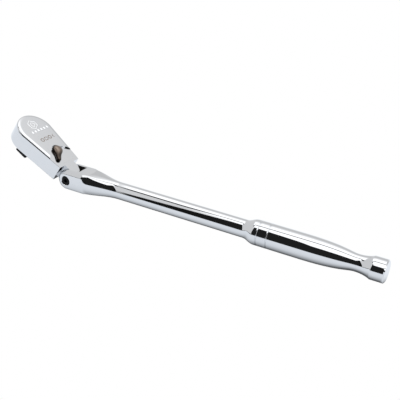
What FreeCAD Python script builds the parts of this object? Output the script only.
import FreeCAD, Part
import math
import os

V = FreeCAD.Vector

# Flex-head ratchet wrench, 3/8 inch drive, in millimetres.
# Every piece is first drawn straight: the pivot axis is the Y axis, the handle runs to +X,
# the head to -X, and the drive square points down.  The head group is then turned up about
# the pivot by FLEX_REST, and everything is moved so that the origin is the drive square's root.

# ---- sizes of the whole wrench ----
OVERALL = 280.0          # nose of the head to the end of the knob, head straight
FLEX_REST = 32.0         # angle the head is stored at, above the handle

# ---- head ----
NOSE_R = 14.1            # radius of the round nose
DRIVE_REACH = 41.2       # pivot to drive axis
HEAD_T = 12.4            # thickness of the tang and of the head round the lever
HEAD_EDGE_LOW = 0.8      # rounding of the bottom edge
SHOULDER = 7.7           # pivot to the square shoulder of the head
SHOULDER_W = 20.6        # width across the shoulder
STEP_UP = 1.1            # the top face over the gear stands higher by this
STEP_AT = 9.2            # pivot to the middle of the lower area's curved front edge
STEP_R = 13.6            # radius of that edge
ROLL_W = 2.6             # the top face rolls down to its edge over this width
ROLL_H = 0.7             # and by this much

# ---- fork and pivot ----
FORK_W = 18.5            # width across the ears
FORK_H = 14.4            # height of the ears
FORK_EDGE = 2.0          # corner radius of the ears
FORK_SIDE_BEND = 2.7     # degrees each ear's side bends away above and below its middle
FORK_TOP_BEND = 1.9      # degrees its top and bottom bend away to each side
SLOT_W = 9.6             # slot between the ears
SLOT_DEPTH = 8.4         # pivot to the end of the slot
SLOT_PLAY = 0.15         # side play of the tang in the slot
PIVOT_R = 2.3            # shank of the pivot screw
PIVOT_HEAD_R = 3.2
PIVOT_HEAD_L = 2.2
PIVOT_TIP_R = 1.9        # threaded end
PIVOT_HEX = 2.5          # key size of the hexagon socket

# ---- handle ----
EAR_END = 13.2           # where the flat sides of the ears end
NECK_START = 15.0        # where the fork begins to narrow
NECK_END = 37.5          # where the round shaft begins
NECK_SIDE_BEND = 40.0    # degrees the neck's side bends away at its start
NECK_TOP_BEND = 4.0
NECK_EDGE = 2.2          # corner radius of the neck at its start
NECK_LEAN = 0.85         # how soon the neck narrows: 0 starts level, 1 at its mean slope
ROUND_BEND = 22.5        # the same angles on a circle of eight arcs
SHAFT_D = 11.8
SHAFT_END = 133.6        # where the shaft swells into the grip
GRIP_START = 142.4
GRIP_D = 16.3
GRIP_TAPER = 172.0       # where the grip begins to taper
WAIST_AT = 206.7
WAIST_D = 10.8
KNOB_D = 14.5
KNOB_L = 8.6
KNOB_CHAMFER = 0.7
GROOVE_AT = 144.6        # first of two turned rings
GROOVE_STEP = 6.7
GROOVE_W = 1.0
GROOVE_DEPTH = 0.35

# ---- flex detent ----
FLEX_BORE_R = 2.1
FLEX_BORE_L = 13.0

# ---- drive ----
TEETH = 60
GEAR_R = 9.2             # tips of the gear teeth
TOOTH_DEPTH = 0.45
SQUARE = 9.53            # 3/8 inch drive square
SQUARE_L = 10.0
JOURNAL_TOP_R = 8.2
JOURNAL_LOW_R = 7.6
BALL_R = 1.6
BALL_PROUD = 0.55        # how far the ball stands out of the square

# ---- inside the head ----
SKIN = 2.1               # metal left over the gear
BORE_GAP = 0.4           # gear tips to the bore
PLATE_T = 1.6            # cover plate
PLATE_RIM = 1.2          # head metal left round the cover plate at the nose
PLATE_REAR = 12.5        # pivot to the rear end of the cover plate
PLATE_REAR_W = 18.4      # width of the cover plate there
PLATE_PLAY = 0.08
PAWL_T = 3.3
PAWL_GAP = 0.4           # between the two stacked pawls
PAWL_SWING = 5.0         # each way from the middle
PAWL_PIN_R = 0.9
PAWL_PIN_AT = 29.3
SCREW_R = 0.85
SCREW_HEAD_R = 1.45
SCREW_HEAD_T = 1.0
SCREW_L = 5.0
SCREW_SLOT = 1.9         # length of each bar of the cross slot
SCREW_SLOT_W = 0.34
WASHER_R = 4.6           # spring washers in the sides of the tang
WASHER_SEAT_R = 4.9
WASHER_SEAT = 0.45       # depth of their seats
WASHER_T = 0.48
SCREW_REAR_AT = 15.5
SCREW_REAR_Y = 7.4

# ---- reversing lever ----
LEVER_AT = 20.3          # pivot axis to lever axis
LEVER_SWING = 80.0       # from one click to the other
LEVER_BULB_R = 3.8
LEVER_TIP_R = 1.6
LEVER_REACH = 8.8        # lever axis to the middle of the thumb tip
LEVER_H = 3.0
LEVER_TIP_H = 2.0
LEVER_ROOM = 0.6         # clear space round the bulb where it meets the higher top face
STEM_R = 3.3
PLUNGER_R = 0.9

# ---- fits ----
RUN = 0.05               # radial clearance of every running fit
GAP = 0.3                # clearance between pieces that pass each other

# ---- derived ----
HANDLE_REACH = OVERALL - NOSE_R - DRIVE_REACH
FLOOR = HEAD_T / 2
TOP = FLOOR + STEP_UP
BOTTOM = -HEAD_T / 2
PLATE_TOP = BOTTOM + PLATE_T
JOURNAL_CEILING = FLOOR - SKIN
GEAR_TOP = JOURNAL_CEILING - 1.3
GEAR_LOW = PLATE_TOP + GAP
CEILING = GEAR_TOP + GAP
BORE_R = GEAR_R + BORE_GAP
SQUARE_ROOT = BOTTOM - 0.8
TANG_W = SLOT_W - 2 * SLOT_PLAY
PAWL_LOW = PLATE_TOP + PAWL_GAP
PAWL_HIGH = PAWL_LOW + PAWL_T + PAWL_GAP
PAWL_IN_R = GEAR_R + GAP
PAWL_OUT_R = PAWL_IN_R + 3.4
POCKET_R = PAWL_OUT_R + 1.9
POCKET_HALF = 10.1
POCKET_REAR_R = 7.4
PLUNGER_TIP = STEM_R + 2.0
NOSE_SCREW_AT = DRIVE_REACH + BORE_R + SCREW_R + 0.6
STEM_LOW = PLATE_TOP + 0.2
CLIP_LEDGE = PLATE_TOP + 1.15
HEAD_MID = V(-DRIVE_REACH, 0, 0)
LEVER_MID = V(-LEVER_AT, 0, 0)


# ---------- small helpers ----------
def cyl(radius, length, start, direction=V(0, 0, 1)):
    """A cylinder from its start point along a direction."""
    return Part.makeCylinder(radius, length, start, direction)


def upright(radius, low, high, centre):
    """A vertical cylinder round a centre line between two heights."""
    return cyl(radius, high - low, V(centre.x, centre.y, low))


def block(x0, x1, y0, y1, z0, z1):
    """A box between two corners."""
    return Part.makeBox(x1 - x0, y1 - y0, z1 - z0, V(x0, y0, z0))


def slab(wire, low, high):
    """A closed outline at height zero made into a plate between two heights."""
    plate = Part.Face(wire).extrude(V(0, 0, high - low))
    plate.translate(V(0, 0, low))
    return plate


def spring(radius, wire_r, start, direction, length, turns):
    """A round-wire compression spring along a direction."""
    pitch = (length - 2 * wire_r) / turns
    helix = Part.makeHelix(pitch, pitch * turns, radius)
    ring = Part.Wire(Part.makeCircle(wire_r, V(radius, 0, 0), V(0, 1, 0)))
    coil = Part.Wire(helix.Edges).makePipeShell([ring], True, True)
    turn = FreeCAD.Rotation(V(0, 0, 1), direction)
    place = FreeCAD.Placement(start + direction * wire_r, turn)
    coil.Placement = place
    return coil


def plunger(radius, tip, direction, length):
    """A round pin with a domed tip that ends exactly at the tip point."""
    dome_mid = tip - direction * radius
    body = cyl(radius, length - radius, tip - direction * length, direction)
    return body.fuse(Part.makeSphere(radius, dome_mid)).removeSplitter()


def tear_drop(nose_r, rear_x, rear_half):
    """The head's outline in plan: a round nose, two tangent sides, a square rear."""
    dx = DRIVE_REACH - rear_x
    reach = math.hypot(dx, rear_half)
    lean = math.atan2(rear_half, dx)
    side = lean + math.acos(nose_r / reach)
    touch = V(-DRIVE_REACH + nose_r * math.cos(side), nose_r * math.sin(side), 0)
    low_touch = V(touch.x, -touch.y, 0)
    rear = V(-rear_x, rear_half, 0)
    low_rear = V(-rear_x, -rear_half, 0)
    nose = Part.Arc(touch, V(-DRIVE_REACH - nose_r, 0, 0), low_touch).toShape()
    lines = [Part.makeLine(low_touch, low_rear), Part.makeLine(low_rear, rear), Part.makeLine(rear, touch)]
    return Part.Wire([nose] + lines)


# ---------- handle ----------
def section(x, width, height, corner, side_bend, top_bend):
    """A rounded rectangle of eight arcs that meet smoothly, given by how far its faces bend."""
    side, top = math.radians(side_bend), math.radians(top_bend)
    side_rise, top_rise = math.tan(side / 2), math.tan(top / 2)
    corner_w = corner * (math.cos(side) - math.sin(top))
    corner_h = corner * (math.cos(top) - math.sin(side))
    flat_z = height / 2 - corner_h - top_rise * (width / 2 - corner_w)
    flat_z = flat_z / (1 - side_rise * top_rise)
    side_y = width / 2 - flat_z * side_rise
    flat_y = side_y - corner_w
    top_z = height / 2 - flat_y * top_rise
    bulge = math.tan((math.pi / 2 - side - top) / 4) / 2
    mid_y = (side_y + flat_y) / 2 + (top_z - flat_z) * bulge
    mid_z = (flat_z + top_z) / 2 + (side_y - flat_y) * bulge
    quarter = [(width / 2, 0), (side_y, flat_z), (mid_y, mid_z), (flat_y, top_z), (0, height / 2)]
    loop = quarter[1:] + [(-y, z) for y, z in quarter[-2::-1]]
    loop += [(-y, -z) for y, z in quarter[1:]] + [(y, -z) for y, z in quarter[-2::-1]]
    points = [V(x, y, z) for y, z in loop + quarter[1:2]]
    arcs = [Part.Arc(*points[i:i + 3]).toShape() for i in range(0, 16, 2)]
    return Part.Wire(arcs)


def fork_section(x):
    """The cross-section of the ears."""
    return section(x, FORK_W, FORK_H, FORK_EDGE, FORK_SIDE_BEND, FORK_TOP_BEND)


def neck_section(part_way):
    """The cross-section between the start of the neck (0) and the round shaft (1)."""
    blend = part_way ** 2 * (3 - 2 * part_way) + NECK_LEAN * part_way * (1 - part_way) ** 2
    x = NECK_START + (NECK_END - NECK_START) * part_way
    width = FORK_W + (SHAFT_D - FORK_W) * blend
    height = FORK_H + (SHAFT_D - FORK_H) * blend
    corner = NECK_EDGE + (SHAFT_D / 2 - NECK_EDGE) * blend
    side_bend = NECK_SIDE_BEND + (ROUND_BEND - NECK_SIDE_BEND) * blend
    top_bend = NECK_TOP_BEND + (ROUND_BEND - NECK_TOP_BEND) * blend
    return section(x, width, height, corner, side_bend, top_bend)


def ear_end():
    """The rounded end of the fork: half of its own cross-section turned about the pivot."""
    wire = fork_section(0)
    half = Part.Face(wire).common(block(-1, 1, -FORK_W, FORK_W, 0, FORK_H))
    return half.revolve(V(0, 0, 0), V(0, 1, 0), -180)


def turned_handle():
    """Shaft, grip, waist and knob, turned from one outline."""
    shaft, grip = SHAFT_D / 2, GRIP_D / 2
    waist, knob = WAIST_D / 2, KNOB_D / 2
    knob_at = HANDLE_REACH - KNOB_L
    swell = GRIP_START - SHAFT_END
    taper = WAIST_AT - GRIP_TAPER
    flare = knob_at - WAIST_AT

    def curve(start, pull_a, pull_b, end):
        line = Part.BezierCurve()
        line.setPoles([V(p[0], 0, p[1]) for p in (start, pull_a, pull_b, end)])
        return line.toShape()

    points = [
        (NECK_END, 0), (NECK_END, shaft), (SHAFT_END, shaft), (GRIP_START, grip), (GRIP_TAPER, grip),
        (WAIST_AT, waist), (knob_at, knob), (HANDLE_REACH - KNOB_CHAMFER, knob),
        (HANDLE_REACH, knob - KNOB_CHAMFER), (HANDLE_REACH, 0),
    ]
    pulls = {
        2: ((SHAFT_END + 0.42 * swell, shaft), (SHAFT_END + 0.52 * swell, grip)),
        4: ((GRIP_TAPER + 0.75 * taper, grip), (WAIST_AT - 0.15 * taper, waist)),
        5: ((WAIST_AT + 0.45 * flare, waist), (knob_at - 0.18 * flare, knob - 0.09 * flare)),
    }
    edges = []
    for i, start in enumerate(points):
        end = points[(i + 1) % len(points)]
        if i in pulls:
            edges.append(curve(start, pulls[i][0], pulls[i][1], end))
        else:
            edges.append(Part.makeLine(V(start[0], 0, start[1]), V(end[0], 0, end[1])))
    return Part.Face(Part.Wire(edges)).revolve(V(0, 0, 0), V(1, 0, 0), 360)


def ring_groove(x):
    """A turned groove with a round bottom, taken out of the grip."""
    radius = GROOVE_W / 2
    return Part.makeTorus(GRIP_D / 2 + radius - GROOVE_DEPTH, radius, V(x, 0, 0), V(1, 0, 0))


def handle_forging():
    """Fork, neck, shaft, grip and knob: one forging."""
    straight = Part.Face(fork_section(0)).extrude(V(EAR_END, 0, 0))
    blend = Part.makeLoft([fork_section(EAR_END), neck_section(0)], True, True)
    neck = Part.makeLoft([neck_section(k / 8) for k in range(9)], True)
    shape = ear_end().fuse([straight, blend, neck, turned_handle()]).removeSplitter()
    for step in range(2):
        shape = shape.cut(ring_groove(GROOVE_AT + step * GROOVE_STEP))
    half_slot = SLOT_W / 2
    slot = block(-FORK_H, SLOT_DEPTH, -half_slot, half_slot, -FORK_H, FORK_H)
    shape = shape.cut(slot)
    shape = shape.cut(cyl(FLEX_BORE_R + RUN, FLEX_BORE_L, V(SLOT_DEPTH, 0, 0), V(1, 0, 0)))
    near, far = -FORK_W / 2, FORK_W / 2
    along = V(0, 1, 0)
    shape = shape.cut(cyl(PIVOT_R + RUN, far + half_slot, V(0, -half_slot - 3, 0), along))
    shape = shape.fuse(cyl(PIVOT_R + 0.5, far - half_slot - 0.4, V(0, half_slot, 0), along))
    shape = shape.cut(cyl(PIVOT_TIP_R, FORK_W, V(0, 0, 0), along))
    seat = PIVOT_HEAD_R + RUN
    shape = shape.cut(cyl(seat, PIVOT_HEAD_L + 0.5, V(0, near - 0.5, 0), along))
    cone = Part.makeCone(seat + 1.0, seat - 0.2, 1.2, V(0, near - 0.5, 0), along)
    return shape.cut(cone)


def pivot_screw():
    """The screw the head swings on: socket head, plain shank, threaded end drawn plain."""
    near, far = -FORK_W / 2, FORK_W / 2
    along = V(0, 1, 0)
    head_low = near + 0.35
    head_top = near + PIVOT_HEAD_L
    screw = cyl(PIVOT_HEAD_R, head_top - head_low, V(0, head_low, 0), along)
    screw = screw.fuse(cyl(PIVOT_R, SLOT_W / 2 - head_top, V(0, head_top, 0), along))
    screw = screw.fuse(cyl(PIVOT_TIP_R, far - 0.5 - SLOT_W / 2, V(0, SLOT_W / 2, 0), along))
    corner = PIVOT_HEX / math.sqrt(3)
    turns = [math.radians(60 * k) for k in range(7)]
    hexagon = Part.makePolygon([V(corner * math.sin(a), 0, corner * math.cos(a)) for a in turns])
    socket = Part.Face(hexagon).extrude(V(0, 1.3, 0))
    socket.translate(V(0, head_low, 0))
    return screw.removeSplitter().cut(socket)


def flex_plunger():
    """The sprung pin that clicks along the end of the head's tang."""
    tip = V(FLOOR + GAP, 0, 0)
    return plunger(FLEX_BORE_R, tip, V(-1, 0, 0), 6.5)


def flex_spring():
    """The spring behind the flex plunger."""
    start = FLOOR + GAP + 6.5
    end = SLOT_DEPTH + FLEX_BORE_L
    return spring(FLEX_BORE_R - 0.45, 0.3, V(start, 0, 0), V(1, 0, 0), end - start, 7)


# ---------- head ----------
def pawl_pocket():
    """The space behind the gear that the two pawls rock in."""
    low, high = PLATE_TOP - 0.01, CEILING
    fan = upright(POCKET_R, low, high, HEAD_MID)
    rear = block(-DRIVE_REACH, -LEVER_AT, -POCKET_HALF, POCKET_HALF, low, high)
    pocket = fan.common(rear)
    back = upright(POCKET_REAR_R, low, high, LEVER_MID)
    front_half = block(-DRIVE_REACH + BORE_R, -LEVER_AT, -POCKET_HALF, POCKET_HALF, low, high)
    waist = block(-PAWL_PIN_AT - 3, -LEVER_AT - 2, -7, 7, low, high)
    return pocket.fuse([back.common(front_half), waist])


def crowned_top():
    """The top face's rolled edge: outlines that shrink as they rise along an arc, lofted."""
    lean = 2 * math.atan(ROLL_H / ROLL_W)
    radius = ROLL_W / math.sin(lean)
    wires = []
    for k in range(5):
        angle = lean * (1 - k / 4)
        inward = ROLL_W - radius * math.sin(angle)
        drop = radius * (1 - math.cos(angle))
        wire = tear_drop(NOSE_R - inward, SHOULDER, SHOULDER_W / 2 - inward)
        wire.translate(V(0, 0, TOP - drop))
        wires.append(wire)
    return Part.makeLoft(wires, True)


def head_blank():
    """The forged outside of the head: teardrop, rolled top edge, lower rear, tang."""
    blank = slab(tear_drop(NOSE_R, SHOULDER, SHOULDER_W / 2), BOTTOM, TOP - ROLL_H)
    rim = []
    for edge in blank.Edges:
        box = edge.BoundBox
        low = abs(box.ZMin - BOTTOM) + abs(box.ZMax - BOTTOM) < 0.01
        if low and box.XMin < -SHOULDER - 1:
            rim.append(edge)
    blank = blank.makeFillet(HEAD_EDGE_LOW, rim).fuse(crowned_top())
    half = TANG_W / 2
    tang = block(-SHOULDER - 1, 0, -half, half, BOTTOM, FLOOR)
    end = cyl(FLOOR, TANG_W, V(0, -half, 0), V(0, 1, 0))
    blank = blank.cut(upright(STEP_R, FLOOR, TOP + 1, V(-STEP_AT, 0, 0)))
    blank = blank.cut(upright(LEVER_BULB_R + LEVER_ROOM, FLOOR, TOP + 1, LEVER_MID))
    return blank.fuse([tang, end]).removeSplitter()


def head_body():
    """The head forging with its bores."""
    shape = head_blank()
    low = BOTTOM - 0.01
    shape = shape.cut(slab(plate_outline(PLATE_PLAY), low, PLATE_TOP))
    shape = shape.cut(upright(BORE_R, low, CEILING, HEAD_MID))
    shape = shape.cut(upright(JOURNAL_TOP_R + RUN, 0, JOURNAL_CEILING, HEAD_MID))
    shape = shape.cut(pawl_pocket())
    shape = shape.cut(upright(STEM_R + RUN, low, TOP, LEVER_MID))
    shape = shape.cut(upright(STEM_R + 1.2, low, CLIP_LEDGE, LEVER_MID))
    shape = shape.cut(upright(PAWL_PIN_R, 0, FLOOR - 0.6, V(-PAWL_PIN_AT, 0, 0)))
    for centre in screw_centres():
        shape = shape.cut(upright(SCREW_R, BOTTOM, BOTTOM + SCREW_L + 0.4, centre))
    along = V(0, 1, 0)
    shape = shape.cut(cyl(PIVOT_R + RUN, FORK_W, V(0, -FORK_W / 2, 0), along))
    for side in (-1, 1):
        seat = cyl(WASHER_SEAT_R, WASHER_SEAT, V(0, side * TANG_W / 2, 0), V(0, -side, 0))
        shape = shape.cut(seat)
    return shape


def plate_outline(extra):
    """The cover plate's outline, or its seat when extra clearance is given."""
    return tear_drop(NOSE_R - PLATE_RIM + extra, PLATE_REAR - extra, PLATE_REAR_W / 2 + extra)


def screw_centres():
    """The three cover plate screws: one in the nose, two at the rear."""
    return [
        V(-NOSE_SCREW_AT, 0, 0),
        V(-SCREW_REAR_AT, SCREW_REAR_Y, 0),
        V(-SCREW_REAR_AT, -SCREW_REAR_Y, 0),
    ]


def screw_cone(centre, extra):
    """The countersunk part of a cover screw, or its seat when extra clearance is given."""
    return Part.makeCone(SCREW_HEAD_R + extra, SCREW_R, SCREW_HEAD_T, V(centre.x, centre.y, BOTTOM))


def cover_plate():
    """The plate that closes the bottom of the head round the drive square."""
    plate = slab(plate_outline(0), BOTTOM, PLATE_TOP)
    plate = plate.cut(upright(JOURNAL_LOW_R + RUN, BOTTOM - 1, 0, HEAD_MID))
    for centre in screw_centres():
        plate = plate.cut(screw_cone(centre, RUN))
        plate = plate.cut(upright(SCREW_R + RUN, BOTTOM - 1, 0, centre))
    return plate


def cover_screws():
    """Three small countersunk screws with a cross slot."""
    screws = []
    for centre in screw_centres():
        shank = upright(SCREW_R, BOTTOM + SCREW_HEAD_T / 2, BOTTOM + SCREW_L, centre)
        screw = screw_cone(centre, 0).fuse(shank).removeSplitter()
        arm, rib = SCREW_SLOT / 2, SCREW_SLOT_W / 2
        for half_x, half_y in ((arm, rib), (rib, arm)):
            screw = screw.cut(block(centre.x - half_x, centre.x + half_x, centre.y - half_y,
                                    centre.y + half_y, BOTTOM - 1, BOTTOM + SCREW_HEAD_T * 0.55))
        screws.append(screw)
    return Part.makeCompound(screws)


def pawl_pin():
    """The pin both pawls rock on, pressed into the head."""
    return upright(PAWL_PIN_R, PLATE_TOP + 0.05, FLOOR - 0.6, V(-PAWL_PIN_AT, 0, 0))


def flex_washers():
    """Two spring washers let into the sides of the tang."""
    rings = []
    for side in (-1, 1):
        start = V(0, side * (TANG_W / 2 - WASHER_SEAT + RUN), 0)
        ring = cyl(WASHER_R, WASHER_T, start, V(0, side, 0))
        rings.append(ring.cut(cyl(PIVOT_R + 0.1, 1, start, V(0, side, 0))))
    return Part.makeCompound(rings)


# ---------- drive ----------
def tooth_ring(outer, depth, count, low, high):
    """A gear blank with straight vee teeth."""
    points = []
    for k in range(count):
        for share, radius in ((0.0, outer), (0.16, outer), (0.58, outer - depth)):
            angle = 2 * math.pi * (k + share - 0.08) / count
            points.append(V(radius * math.cos(angle), radius * math.sin(angle), 0))
    points.append(points[0])
    ring = slab(Part.makePolygon(points), low, high)
    ring.translate(HEAD_MID)
    return ring


def square_tip():
    """The drive square with its chamfered end."""
    half = SQUARE / 2
    low = SQUARE_ROOT - SQUARE_L
    tip = block(-half, half, -half, half, low, SQUARE_ROOT)
    corners = [e for e in tip.Edges if e.BoundBox.ZLength > SQUARE_L / 2]
    tip = tip.makeFillet(1.0, corners)
    edges = [e for e in tip.Edges if e.BoundBox.ZMax < low + 0.01]
    tip = tip.makeChamfer(0.7, edges)
    tip.translate(HEAD_MID)
    return tip


def drive_gear():
    """Ratchet gear, its two journals and the drive square in one piece."""
    gear = tooth_ring(GEAR_R, TOOTH_DEPTH, TEETH, GEAR_LOW, GEAR_TOP)
    top = upright(JOURNAL_TOP_R, GEAR_TOP, JOURNAL_CEILING - 0.15, HEAD_MID)
    low = upright(JOURNAL_LOW_R, SQUARE_ROOT, GEAR_LOW, HEAD_MID)
    gear = gear.fuse([top, low, square_tip()])
    hole = cyl(BALL_R + RUN, SQUARE / 2 + 2.6, ball_middle() + V(0, -2, 0), V(0, 1, 0))
    return gear.cut(hole)


def ball_middle():
    """The centre of the detent ball in the side of the square."""
    depth = SQUARE / 2 + BALL_PROUD - BALL_R
    return V(-DRIVE_REACH, -depth, SQUARE_ROOT - SQUARE_L * 0.55)


def drive_ball():
    """The ball that holds a socket on the square."""
    return Part.makeSphere(BALL_R, ball_middle())


def drive_ball_spring():
    """The spring behind the detent ball."""
    start = ball_middle() + V(0, BALL_R, 0)
    end = ball_middle().y - 2 + SQUARE / 2 + 2.6
    return spring(BALL_R - 0.45, 0.25, start, V(0, 1, 0), end - start.y, 5)


def gear_washer():
    """The thin wave washer between gear and cover plate, drawn flat."""
    ring = upright(GEAR_R - 0.6, PLATE_TOP + 0.05, GEAR_LOW - 0.05, HEAD_MID)
    return ring.cut(upright(JOURNAL_LOW_R + 0.15, PLATE_TOP - 1, GEAR_LOW + 1, HEAD_MID))


# ---------- pawls ----------
def pawl_lobe(side, low, high):
    """One toothed end of a pawl, drawn where it meets the gear."""
    first, last = 13.0, 43.0
    steps = int((last - first) * TEETH / 360)
    inner = []
    for k in range(steps):
        for share, lift in ((0.0, TOOTH_DEPTH), (0.42, 0.0), (0.58, 0.0)):
            angle = math.radians(first + 360.0 * (k + share) / TEETH)
            radius = PAWL_IN_R + lift
            inner.append(V(radius * math.cos(angle), side * radius * math.sin(angle), 0))
    end_angle = math.radians(first + 360.0 * steps / TEETH)
    start_angle = math.radians(first)
    outer = []
    for k in range(9):
        angle = end_angle + (start_angle - end_angle) * k / 8
        outer.append(V(PAWL_OUT_R * math.cos(angle), side * PAWL_OUT_R * math.sin(angle), 0))
    lobe = slab(Part.makePolygon(inner + outer + [inner[0]]), low, high)
    lobe.translate(HEAD_MID)
    lobe.rotate(V(-PAWL_PIN_AT, 0, 0), V(0, 0, 1), -side * PAWL_SWING)
    return lobe


def pawl(low):
    """A rocking pawl with teeth at both ends, turned to the click it is stored at."""
    high = low + PAWL_T
    body = block(-PAWL_PIN_AT - 6, -LEVER_AT - 3.4, -5.4, 5.4, low, high)
    body = body.cut(upright(PAWL_IN_R + 0.55, low - 1, high + 1, HEAD_MID))
    body = body.cut(upright(PLUNGER_TIP + 0.45, low - 1, high + 1, LEVER_MID))
    shape = body.fuse([pawl_lobe(1, low, high), pawl_lobe(-1, low, high)]).removeSplitter()
    shape = shape.cut(upright(PAWL_PIN_R + RUN, low - 1, high + 1, V(-PAWL_PIN_AT, 0, 0)))
    shape.rotate(V(-PAWL_PIN_AT, 0, 0), V(0, 0, 1), PAWL_SWING)
    return shape


# ---------- reversing lever ----------
def lever_turn(shape):
    """Turn a piece drawn with the lever straight back to the click it is stored at."""
    shape.rotate(LEVER_MID, V(0, 0, 1), -LEVER_SWING / 2)
    return shape


def plunger_direction():
    """The way the pawl plungers point once the lever is at its click."""
    angle = math.radians(180 - LEVER_SWING / 2)
    return V(math.cos(angle), math.sin(angle), 0)


def lever_cap():
    """The thumb piece: a round bulb over the stem, tapering down to a small tip."""
    low = FLOOR + GAP
    lean = math.acos((LEVER_BULB_R - LEVER_TIP_R) / LEVER_REACH)
    across, along = math.sin(lean), math.cos(lean)
    wide = [V(LEVER_BULB_R * along, side * LEVER_BULB_R * across, 0) for side in (1, -1)]
    slim = [V(LEVER_REACH + LEVER_TIP_R * along, side * LEVER_TIP_R * across, 0) for side in (1, -1)]
    back = Part.Arc(wide[0], V(-LEVER_BULB_R, 0, 0), wide[1]).toShape()
    front = Part.Arc(slim[1], V(LEVER_REACH + LEVER_TIP_R, 0, 0), slim[0]).toShape()
    wire = Part.Wire([back, Part.makeLine(wide[1], slim[1]), front, Part.makeLine(slim[0], wide[0])])
    tail = slab(wire, low, low + LEVER_TIP_H)
    tail = tail.makeFillet(0.8, [e for e in tail.Edges if e.BoundBox.ZMin > low + LEVER_TIP_H - 0.01])
    bulb = cyl(LEVER_BULB_R, LEVER_H, V(0, 0, low))
    bulb = bulb.makeFillet(1.5, [e for e in bulb.Edges if e.BoundBox.ZMin > low + LEVER_H - 0.01])
    cap = tail.fuse(bulb).removeSplitter()
    cap.translate(LEVER_MID)
    return cap


def reverse_lever():
    """Thumb piece and stem in one, with an O-ring groove, a clip groove and two cross holes."""
    lever = lever_cap().fuse(upright(STEM_R, STEM_LOW, FLOOR + GAP + 0.5, LEVER_MID))
    ring_low = CEILING + 0.75
    lever = lever.cut(groove(STEM_R - 0.85, ring_low, ring_low + 0.9))
    lever = lever.cut(groove(STEM_R - 0.7, STEM_LOW + 0.3, STEM_LOW + 0.8))
    for height in plunger_heights():
        hole_start = V(-LEVER_AT + 2.1, 0, height)
        lever = lever.cut(cyl(PLUNGER_R + RUN, STEM_R + 3, hole_start, V(-1, 0, 0)))
    return lever_turn(lever)


def groove(bottom_r, low, high):
    """A turned groove in the lever's stem."""
    return upright(STEM_R + 1, low, high, LEVER_MID).cut(upright(bottom_r, low, high, LEVER_MID))


def plunger_heights():
    """The heights of the two pawl plungers, one for each pawl."""
    return [PAWL_LOW + PAWL_T * 0.6, PAWL_HIGH + PAWL_T * 0.5]


def lever_o_ring():
    """The rubber ring that seals the lever's stem."""
    height = CEILING + 0.75 + 0.45
    return Part.makeTorus(STEM_R - 0.4, 0.42, V(-LEVER_AT, 0, height))


def lever_clip():
    """The open ring that keeps the lever in the head."""
    low = STEM_LOW + 0.32
    ring = upright(STEM_R + 0.8, low, low + 0.45, LEVER_MID)
    ring = ring.cut(upright(STEM_R - 0.68, low - 1, low + 1, LEVER_MID))
    ring = ring.cut(block(-LEVER_AT, -LEVER_AT + 6, -1.2, 1.2, low - 1, low + 1))
    return lever_turn(ring)


def pawl_plunger(height):
    """The pin that leans on a pawl."""
    way = plunger_direction()
    tip = V(-LEVER_AT, 0, height) + way * PLUNGER_TIP
    return plunger(PLUNGER_R, tip, way, 3.4)


def pawl_spring(height):
    """The spring behind a pawl plunger, inside the stem."""
    way = plunger_direction()
    start = V(-LEVER_AT, 0, height) - way * 2.1
    length = PLUNGER_TIP - 3.4 + 2.1
    return spring(PLUNGER_R - 0.28, 0.18, start, way, length, 6)


# ---------- placing and export ----------
def place(shape, in_head):
    """Turn the head group up about the pivot and move the origin to the drive square's root."""
    if in_head:
        shape.rotate(V(0, 0, 0), V(0, 1, 0), FLEX_REST)
    turn = FreeCAD.Rotation(V(0, 1, 0), FLEX_REST)
    origin = turn.multVec(V(-DRIVE_REACH, 0, SQUARE_ROOT))
    shape.translate(V(-origin.x, -origin.y, -origin.z))
    return shape


def main():
    """Build every piece and write one file for each."""
    os.makedirs("parts", exist_ok=True)
    lower, upper = plunger_heights()
    handle_pieces = {
        "handle_forging": handle_forging(),
        "pivot_screw": pivot_screw(),
        "flex_plunger": flex_plunger(),
        "flex_spring": flex_spring(),
    }
    head_pieces = {
        "head_body": head_body(),
        "cover_plate": cover_plate(),
        "cover_screws": cover_screws(),
        "pawl_pin": pawl_pin(),
        "flex_washers": flex_washers(),
        "drive_gear": drive_gear(),
        "drive_ball": drive_ball(),
        "drive_ball_spring": drive_ball_spring(),
        "gear_washer": gear_washer(),
        "pawl_lower": pawl(PAWL_LOW),
        "pawl_upper": pawl(PAWL_HIGH),
        "reverse_lever": reverse_lever(),
        "lever_o_ring": lever_o_ring(),
        "lever_clip": lever_clip(),
        "pawl_plunger_lower": pawl_plunger(lower),
        "pawl_plunger_upper": pawl_plunger(upper),
        "pawl_spring_lower": pawl_spring(lower),
        "pawl_spring_upper": pawl_spring(upper),
    }
    for group, in_head in ((handle_pieces, False), (head_pieces, True)):
        for name, shape in group.items():
            shape = place(shape, in_head)
            shape.exportStep(f"parts/{name}.step")
            box = shape.BoundBox
            print(name, shape.isValid(), len(shape.Solids), round(shape.Volume, 2),
                  [round(v, 2) for v in (box.XMin, box.YMin, box.ZMin, box.XMax, box.YMax, box.ZMax)])


main()
